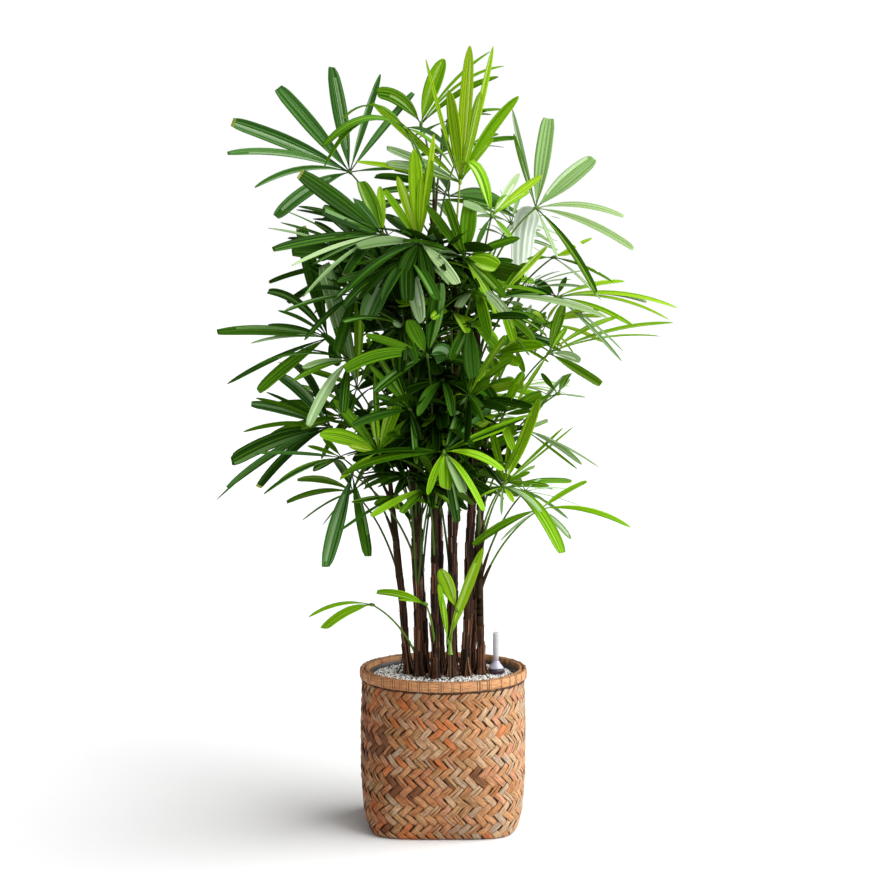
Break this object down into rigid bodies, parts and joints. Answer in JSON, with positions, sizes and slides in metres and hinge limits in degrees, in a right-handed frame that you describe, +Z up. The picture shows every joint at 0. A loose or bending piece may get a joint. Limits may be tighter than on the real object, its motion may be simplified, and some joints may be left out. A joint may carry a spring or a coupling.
{
  "type": "potted lady palm",
  "caption": "Potted lady palm: a clump of slender fibrous canes with fan-shaped fronds, in granules and a liner inside a woven bamboo basket.",
  "frame": {"origin": "centre of the basket's flat underside", "axes": "+Z up along the canes, -Y towards the front, +X to the right as seen from the front"},
  "size_m": [0.9716, 0.6773, 1.64],
  "materials": {
    "wicker": "woven bamboo strips, satin",
    "rim": "split bamboo band, satin",
    "liner": "matte black plastic",
    "granules": "loose mineral grains, matte",
    "gauge_base": "dark moulded plastic",
    "gauge_tube": "clear moulded plastic",
    "cane": "dark brown fibre over a slender cane, matte",
    "leaf": "pleated green leaf, satin"
  },
  "bodies": {
    "root": {"basket": "wicker", "cane_1": "cane", "cane_10": "cane", "cane_11": "cane", "cane_2": "cane", "cane_3": "cane", "cane_4": "cane", "cane_5": "cane", "cane_6": "cane", "cane_7": "cane", "cane_8": "cane", "cane_9": "cane", "crown_1": "leaf", "crown_10": "leaf", "crown_11": "leaf", "crown_2": "leaf", "crown_3": "leaf", "crown_4": "leaf", "crown_5": "leaf", "crown_6": "leaf", "crown_7": "leaf", "crown_8": "leaf", "crown_9": "leaf", "frond_1_1": "leaf", "frond_2_1": "leaf", "frond_2_2": "leaf", "frond_2_3": "leaf", "frond_2_4": "leaf", "frond_3_1": "leaf", "frond_3_2": "leaf", "frond_3_3": "leaf", "frond_4_1": "leaf", "frond_4_2": "leaf", "frond_5_1": "leaf", "frond_5_2": "leaf", "frond_5_3": "leaf", "frond_5_4": "leaf", "frond_6_1": "leaf", "frond_6_2": "leaf", "frond_7_1": "leaf", "frond_7_2": "leaf", "frond_7_3": "leaf", "frond_7_4": "leaf", "frond_8_1": "leaf", "frond_8_2": "leaf", "frond_8_3": "leaf", "frond_8_4": "leaf", "frond_9_1": "leaf", "frond_9_2": "leaf", "frond_9_3": "leaf", "frond_9_4": "leaf", "frond_9_5": "leaf", "gauge_base": "gauge_base", "gauge_tube": "gauge_tube", "granules": "granules", "liner_pot": "liner", "rim_hoop": "rim"}
  },
  "joints": []
}
